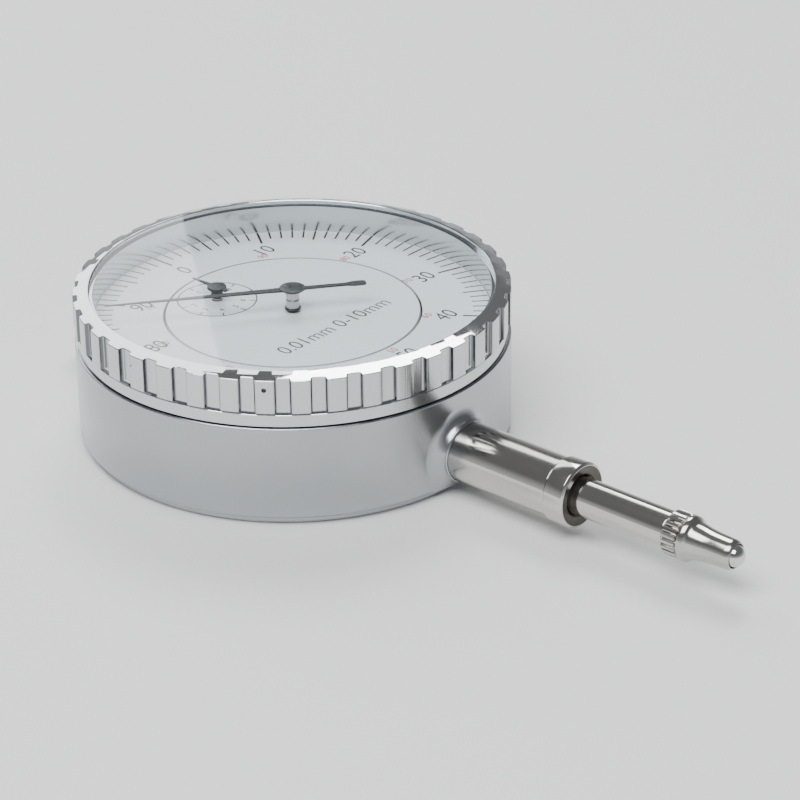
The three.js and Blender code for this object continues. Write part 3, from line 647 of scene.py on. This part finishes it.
def contact_tip():
    """The hardened ball that touches the work."""
    low, high = (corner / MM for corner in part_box("contact_ball"))
    centre = (low + high) / 2
    bm = bmesh.new()
    place = Matrix.Translation(Vector((0, centre.y, AXIS_HEIGHT)) * MM)
    bmesh.ops.create_uvsphere(bm, u_segments=48, v_segments=24, radius=BALL_RADIUS * MM,
                              matrix=place)
    finished(bm, "contact_tip", "spindle", [bearing_steel], ["contact_ball"])


# ---------------------------------------------------------------- bezel and crystal

def flute_columns():
    """Angle in degrees and cut depth of each column of points round the bezel's wall."""
    pitch = 360 / FLUTES
    half_pitch = math.pi * CASE_RADIUS / FLUTES
    shares = (0.3, 0.55, 0.7, 0.8, 0.88, 0.94, 0.98, 1.0)
    places = [0.0] + [FLUTE_HALF * share for share in shares]
    places += [FLUTE_HALF + 0.09, FLUTE_HALF + 0.35, half_pitch]
    columns = []
    for x in [-p for p in reversed(places[1:-1])] + places:
        depth = FLUTE_DEPTH * max(0.0, 1 - abs(x / FLUTE_HALF) ** 8)
        if abs(abs(x) - FLUTE_HALF) < 0.1:
            depth = 0.02 if abs(x) > FLUTE_HALF else 0.05
        columns.append((x / half_pitch * pitch / 2, depth))
    return [(FIRST_FLUTE + index * pitch + angle, depth)
            for index in range(FLUTES) for angle, depth in columns]


def fluted_bezel():
    """The turning rim: a plain ring below, forty flutes, a coned top and a mirror-bright bore."""
    columns = flute_columns()
    slope = (RIM_TOP - BEVEL_LOW) / (CASE_RADIUS - RIM_RADIUS)
    ease = 0.07
    slot = RING_RADIUS - 0.45
    low = RING_LOW - 0.12
    flange, flange_low = 25.0, 15.75
    skirt, wire_groove = 27.6, 27.9
    knee = 28.2
    outside = [(RING_RADIUS - 0.06, low), (RING_RADIUS, low + 0.06),
               (RING_RADIUS, KNURL_LOW - 0.4), (RING_RADIUS - 0.05, KNURL_LOW - 0.35),
               (slot, KNURL_LOW - 0.35), (slot, KNURL_LOW), (CASE_RADIUS - ease, KNURL_LOW),
               (CASE_RADIUS, KNURL_LOW + ease), (CASE_RADIUS, BEVEL_LOW - ease),
               (CASE_RADIUS - ease, BEVEL_LOW + slope * ease),
               (knee, RIM_TOP - slope * (knee - RIM_RADIUS)), (RIM_RADIUS + 0.06, RIM_TOP)]
    inside = [(RIM_RADIUS - 0.12, RIM_TOP), (RIM_RADIUS - 0.2, RIM_TOP - 0.08),
              (RIM_RADIUS - 0.2, CRYSTAL_LOW), (INNER_WALL, CRYSTAL_LOW),
              (INNER_WALL, DIAL_BACK), (flange, DIAL_BACK), (flange, flange_low),
              (skirt, flange_low), (skirt, GROOVE_TOP), (wire_groove, GROOVE_TOP),
              (wire_groove, GROOVE_LOW), (skirt, GROOVE_LOW), (skirt, low)]
    bm = turned(outside + inside, closed=True, steps=len(columns))
    for vert in bm.verts:
        radius = math.hypot(vert.co.x, vert.co.y) / MM
        index = round(math.degrees(math.atan2(vert.co.y, vert.co.x)) * len(columns) / 360)
        angle, depth = columns[index % len(columns)]
        if radius < CASE_RADIUS - 2 * ease:
            depth = 0
        if vert.co.z > (BEVEL_LOW - 2 * ease) * MM:
            vert.co.z += slope * depth * MM
        turn = math.radians(angle)
        vert.co.x = (radius - depth) * math.cos(turn) * MM
        vert.co.y = (radius - depth) * math.sin(turn) * MM
    bm.normal_update()
    for face in bm.faces:
        middle = face.calc_center_median() / MM
        radius = math.hypot(middle.x, middle.y)
        fluted = radius > slot and middle.z > KNURL_LOW - 0.01
        rim = face.normal.z > 0.9 and middle.z > BEVEL_LOW - 0.5
        face.material_index = 2 if rim else 0 if fluted else 1
    dimple_height = 19.2
    dimples = []
    for angle in (-144.1, -96.3, -51.0, -7.0, 38.0, 83.0, 131.0, 177.8):
        drill = turned([(0, 28.1), (0.22, 28.2), (0.3, 28.7), (0.36, 29.5), (0, 29.5)],
                       along="X", steps=24)
        place = Matrix.Rotation(math.radians(angle), 4, "Z")
        place = place @ Matrix.Translation((0, 0, dimple_height * MM))
        bmesh.ops.transform(drill, matrix=place, verts=drill.verts[:])
        dimples.append(drill)
    bm = combined(bm, joined(*dimples), "DIFFERENCE")
    finishes = [satin_chrome, turned_chrome, polished_chrome]
    finished(bm, "fluted_bezel", "bezel", finishes, ["bezel"], crease=28)


def crystal_disc():
    """The flat crystal in its seat, with a rounded upper edge."""
    edge = RIM_RADIUS - 0.24
    profile = [(0, CRYSTAL_LOW + 0.01), (edge, CRYSTAL_LOW + 0.01, 0.06),
               (edge, CRYSTAL_TOP, 0.16), (0, CRYSTAL_TOP)]
    disc = turned(profile, steps=288)
    finished(disc, "crystal_disc", "bezel", [clear_acrylic], ["crystal"])


# ---------------------------------------------------------------- dial and its printing

def tick(bm, angle, inner, outer, width):
    """One printed line, pointing at the dial's axis, clockwise from twelve o'clock."""
    turn = Matrix.Rotation(-math.radians(angle), 4, "Z")
    place = Matrix.Translation((0, (inner + outer) / 2 * MM, (DIAL_FACE + INK / 2) * MM))
    size = Matrix.Diagonal((width * MM, (outer - inner) * MM, INK * MM, 1))
    bmesh.ops.create_cube(bm, size=1, matrix=turn @ place @ size)


def lettering(bm, words, height, place, thin=0.0, wide=1.0):
    """Printed characters, upright as the dial is read, with their middle at place."""
    curve = bpy.data.curves.new("lettering", "FONT")
    curve.body = words
    curve.size = height * 1.4 * MM
    curve.offset = -thin * MM
    curve.extrude = INK / 2 * MM
    curve.resolution_u = 4
    curve.align_x = "CENTER"
    made = bpy.data.objects.new("lettering", curve)
    bpy.context.scene.collection.objects.link(made)
    shape = made.evaluated_get(bpy.context.evaluated_depsgraph_get())
    mesh = bpy.data.meshes.new_from_object(shape)
    bpy.data.objects.remove(made)
    bpy.data.curves.remove(curve)
    low = min(v.co.y for v in mesh.vertices)
    high = max(v.co.y for v in mesh.vertices)
    left = min(v.co.x for v in mesh.vertices)
    right = max(v.co.x for v in mesh.vertices)
    scale = Matrix.Diagonal((wide, height * MM / (high - low), 1, 1))
    centre = Matrix.Translation((-(left + right) / 2, -(low + high) / 2, 0))
    x, y = place
    spot = Matrix.Translation((x * MM, y * MM, (DIAL_FACE + INK / 2) * MM))
    mesh.transform(spot @ scale @ centre)
    bm.from_mesh(mesh)
    bmesh.ops.remove_doubles(bm, verts=bm.verts[:], dist=1e-7)
    bpy.data.meshes.remove(mesh)


def on_dial(radius, angle):
    """A place on the dial, by its radius and its angle clockwise from twelve o'clock."""
    turn = math.radians(angle)
    return radius * math.sin(turn), radius * math.cos(turn)


def scale_ring():
    """The turning outer ring of the dial, its hundred graduations and two rows of figures."""
    outer = INNER_WALL - 0.04
    profile = [(CENTRE_RADIUS + 0.2, DIAL_BACK), (outer, DIAL_BACK), (outer, DIAL_FACE, 0.04),
               (CENTRE_RADIUS + 0.2, DIAL_FACE, 0.05)]
    ring = turned(profile, closed=True, steps=288)
    finished(ring, "scale_ring", "bezel", [white_enamel], ["dial_ring"])
    black = bmesh.new()
    for index in range(100):
        inner, width = 23.9, 0.25
        if index % 10 == 0:
            inner, width = 22.6, 0.34
        elif index % 5 == 0:
            inner, width = 23.2, 0.28
        tick(black, 3.6 * index, inner, 26.25, width)
    red = bmesh.new()
    for index in range(10):
        angle = 36 * index
        lettering(black, str(10 * index), 2.5, on_dial(20.3, angle), thin=0.01, wide=0.86)
        if index:
            other = on_dial(18.4, angle)
            lettering(red, str(100 - 10 * index), 1.15, (other[0] - 0.6, other[1] + 0.3), wide=0.9)
    finished(black, "scale_ring_print", "bezel", [black_ink])
    finished(red, "scale_ring_red_print", "bezel", [red_ink])


def dial_plate():
    """The fixed centre of the dial with its feet, the small dial's ring and the wording."""
    profile = [(0, DIAL_BACK), (CENTRE_RADIUS, DIAL_BACK), (CENTRE_RADIUS, DIAL_FACE, 0.05),
               (0, DIAL_FACE)]
    disc = turned(profile, steps=288)
    feet_low = span("dial_centre", 2)[0]
    feet = [turned([(0, feet_low), (0.9, feet_low, 0.15), (0.9, DIAL_BACK + 0.1),
                    (0, DIAL_BACK + 0.1)], steps=32, at=(*place, 0))
            for place in ((0.5, -14.6), (-14.5, 3), (14, -4))]
    disc = combined(disc, joined(*feet), "UNION")
    holes = [turned([(0, 15), (radius, 15), (radius, 18), (0, 18)], steps=48, at=(*place, 0))
             for radius, place in ((0.75, (0, 0)), (0.75, (COUNTER_X, COUNTER_Y)))]
    disc = combined(disc, joined(*holes), "DIFFERENCE")
    finished(disc, "dial_plate", "case", [white_enamel], ["dial_centre"])
    low, high = DIAL_FACE, DIAL_FACE + INK
    radius = SMALL_DIAL_RADIUS
    ring = turned([(radius - 0.08, low), (radius + 0.08, low), (radius + 0.08, high),
                   (radius - 0.08, high)], closed=True, steps=144)
    for index in range(10):
        tick(ring, 36 * index, radius - 0.95, radius, 0.16)
        x, y = on_dial(3.45, -36 * index)
        lettering(ring, str(index), 0.95, (x, y), wide=0.9)
    shift = Matrix.Translation((COUNTER_X * MM, COUNTER_Y * MM, 0))
    bmesh.ops.transform(ring, matrix=shift, verts=ring.verts[:])
    # Painted shade: a thin black ring at the centre plate's edge, standing for the shadow line in
    # the gap to the scale ring.
    edge = CENTRE_RADIUS - 0.02
    painted_gap_shade_ring = turned([(edge - 0.12, low), (edge, low), (edge, high), (edge - 0.12, high)],
                    closed=True, steps=288)
    ring = joined(ring, painted_gap_shade_ring)
    lettering(ring, "0.01mm 0-10mm", 2.3, (0, -7.4), thin=0.02, wide=0.93)
    finished(ring, "dial_plate_print_and_painted_gap_shade", "case", [black_ink])


# ---------------------------------------------------------------- hands

def main_hand_blade():
    """A long tapered blade with a flared counterweight, turned to its reading."""
    length = math.hypot(*(max(abs(s) for s in span("main_hand", axis)) for axis in (0, 1)))
    right = [(0.08, length), (0.55, 3.0), (0.66, 1.2), (0.45, -1.6), (0.38, -7.2), (0.68, -8.3),
             (0.68, -9.5), (0.45, -9.9)]
    points = right + [(-x, y) for x, y in reversed(right)]
    blade = plate(points, BLADE_LOW, BLADE_TOP, bevel=0.04)
    turn = Matrix.Rotation(-math.radians(3.6 * MAIN_READING), 4, "Z")
    bmesh.ops.transform(blade, matrix=turn, verts=blade.verts[:])
    finished(blade, "main_hand_blade", "centre_arbor", [hand_black], ["main_hand"])


def hub_post():
    """The boss of the main hand: a disc on top, a bright post and a dark foot at the dial."""
    cap = turned([(0, BLADE_TOP - 0.3), (1.3, BLADE_TOP - 0.3), (1.75, BLADE_TOP, 0.0),
                  (1.75, HUB_TOP, 0.06), (0.5, HUB_TOP), (0.42, HUB_TOP - 0.05),
                  (0, HUB_TOP - 0.05)], steps=96)
    foot = turned([(0.6, HUB_LOW), (1.1, HUB_LOW, 0.05), (1.1, HUB_LOW + 0.25, 0.08),
                   (0.6, HUB_LOW + 0.25)], closed=True, steps=64)
    finished(joined(cap, foot), "hub_cap", "centre_arbor", [hand_black], ["hand_hub"])
    post = turned([(0.6, HUB_LOW + 0.25), (0.9, HUB_LOW + 0.25), (0.9, HUB_LOW + 1.3, 0.05),
                   (0.8, HUB_LOW + 1.45), (0.9, HUB_LOW + 1.6, 0.05), (0.9, BLADE_TOP - 0.3),
                   (0.6, BLADE_TOP - 0.3)], closed=True, steps=64)
    finished(post, "hub_sleeve", "centre_arbor", [screw_steel])


def small_pointer():
    """The turn counter's hand, with its own boss and a short tail."""
    right = [(0.07, 4.5), (0.3, 1.2), (0.36, -0.6), (0.34, -1.9)]
    points = right + [(-x, y) for x, y in reversed(right)]
    blade = plate(points, SMALL_LOW + 1.05, SMALL_LOW + 1.25, bevel=0.03)
    cap = turned([(0, SMALL_TOP - 0.4), (0.9, SMALL_TOP - 0.4), (1.3, SMALL_TOP - 0.28, 0.0),
                  (1.3, SMALL_TOP, 0.06), (0, SMALL_TOP)], steps=64)
    sleeve = turned([(0.45, SMALL_LOW), (0.8, SMALL_LOW, 0.05), (0.8, SMALL_TOP - 0.4),
                     (0.45, SMALL_TOP - 0.4)], closed=True, steps=48)
    hand = joined(blade, cap, sleeve)
    shift = Matrix.Translation((COUNTER_X * MM, COUNTER_Y * MM, 0))
    bmesh.ops.transform(hand, matrix=shift, verts=hand.verts[:])
    finished(hand, "small_pointer", "counter_arbor", [hand_black], ["small_hand"])


# ---------------------------------------------------------------- movement

def pillar_post(name):
    """A turned pillar with a waist, tapped at its top for a screw."""
    low, high = (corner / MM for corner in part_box(name))
    centre = (low + high) / 2
    end, waist, hole, depth = 1.6, 1.3, 0.65, 1.75
    profile = [(0, low.z), (end, low.z, 0.12), (end, low.z + 0.7, 0.08), (waist, low.z + 0.9),
               (waist, high.z - 0.9), (end, high.z - 0.7, 0.08), (end, high.z, 0.12),
               (hole, high.z), (hole, high.z - depth), (0, high.z - depth)]
    post = turned(profile, steps=48, at=(centre.x, centre.y, 0))
    finished(post, f"{name}_post", "case", [turned_brass], [name])


def repaint(names, material):
    """Gives carried-over frame nodes their finish."""
    for name in names:
        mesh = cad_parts[name].data
        mesh.materials.clear()
        mesh.materials.append(material)


def movement():
    """Screws and pillars, and the finishes of the frame nodes that stay inside."""
    screws = [f"back_screw_{i}" for i in range(1, 5)] + [f"plate_screw_{i}" for i in range(1, 4)]
    screws += [f"pillar_screw_{i}" for i in range(1, 5)]
    screws += ["cock_screw_1", "cock_screw_2", "rail_screw_1", "rail_screw_2"]
    for name in screws:
        slotted_screw(name)
    for index in range(1, 5):
        pillar_post(f"pillar_{index}")
    repaint(["main_plate", "bridge_plate", "pinion_cock", "counter_wheel", "takeup_wheel",
             "hairspring_collet", "hairspring_stud"], turned_brass)
    repaint(["guide_rail", "spring_post", "counter_arbor", "centre_arbor", "takeup_arbor"],
            screw_steel)
    repaint(["return_spring", "bezel_snap_wire", "hairspring"], spring_wire)


# ---------------------------------------------------------------- stage, lights and camera

def stage():
    """A pale floor, and a pale surround that darkens from the horizon up."""
    bm = bmesh.new()
    bmesh.ops.create_grid(bm, x_segments=8, y_segments=8, size=2.5)
    floor = object_of(bm, "floor")
    material, tree = new_material("pale_floor")
    shader = node(tree, "ShaderNodeBsdfPrincipled",
                  {"Base Color": linear("#eceded"), "Roughness": 0.62})
    node(tree, "ShaderNodeOutputMaterial", {"Surface": shader.outputs[0]})
    floor.data.materials.append(material)
    world = bpy.data.worlds.new("surround")
    bpy.context.scene.world = world
    world.use_nodes = True
    tree = world.node_tree
    tree.nodes.clear()
    direction = node(tree, "ShaderNodeTexCoord").outputs["Generated"]
    height = node(tree, "ShaderNodeSeparateXYZ", {"Vector": direction}).outputs["Z"]
    shade = node(tree, "ShaderNodeMapRange", {"Value": height, "From Min": 0.0, "From Max": 0.4,
                                              "To Min": 0.75, "To Max": 0.2})
    background = node(tree, "ShaderNodeBackground", {"Color": linear("#f4f6f8"),
                                                     "Strength": shade.outputs["Result"]})
    node(tree, "ShaderNodeOutputWorld", {"Surface": background.outputs[0]})


def soft_light(name, azimuth, elevation, size, brightness, colour="#ffffff"):
    """A soft box a metre off that faces the object. Azimuth is counted from +X towards +Y."""
    lamp = bpy.data.lights.new(name, "AREA")
    lamp.shape = "RECTANGLE"
    lamp.size, lamp.size_y = size
    lamp.energy = 4 * brightness * size[0] * size[1]
    lamp.color = linear(colour)[:3]
    turn, lift = math.radians(azimuth), math.radians(elevation)
    towards = Vector((math.cos(turn) * math.cos(lift), math.sin(turn) * math.cos(lift),
                      math.sin(lift)))
    made = bpy.data.objects.new(name, lamp)
    made.location = towards
    made.rotation_euler = (-towards).to_track_quat("-Z", "Y").to_euler()
    bpy.context.scene.collection.objects.link(made)


def camera():
    """Looks down on the dial from beyond its eight o'clock, as a person at a bench would."""
    place = Vector((-0.2687, -0.2565, 0.191))
    target = Vector((0.002, -0.017, 0.008))
    lens = bpy.data.cameras.new("camera")
    lens.lens = 139
    lens.sensor_width = 36
    made = bpy.data.objects.new("camera", lens)
    made.location = place
    tilt = Quaternion((0, 0, 1), math.radians(-0.7))
    made.rotation_euler = ((target - place).to_track_quat("-Z", "Y") @ tilt).to_euler()
    bpy.context.scene.collection.objects.link(made)
    bpy.context.scene.camera = made


camera()
stage()
soft_light("left_box", 66.5, 34, (0.66, 0.7), 2.3, "#fbfdff")
soft_light("right_box", 30, 51, (0.3, 0.4), 9.0)
soft_light("front_box", -165, 62, (0.9, 0.6), 6.0)
case_shell()
back_plate()
stem_tube()
collar_bush()
cap_bush()
dust_cap()
rack_spindle()
guide_peg()
knurled_contact()
contact_tip()
fluted_bezel()
crystal_disc()
scale_ring()
dial_plate()
main_hand_blade()
hub_post()
small_pointer()
movement()
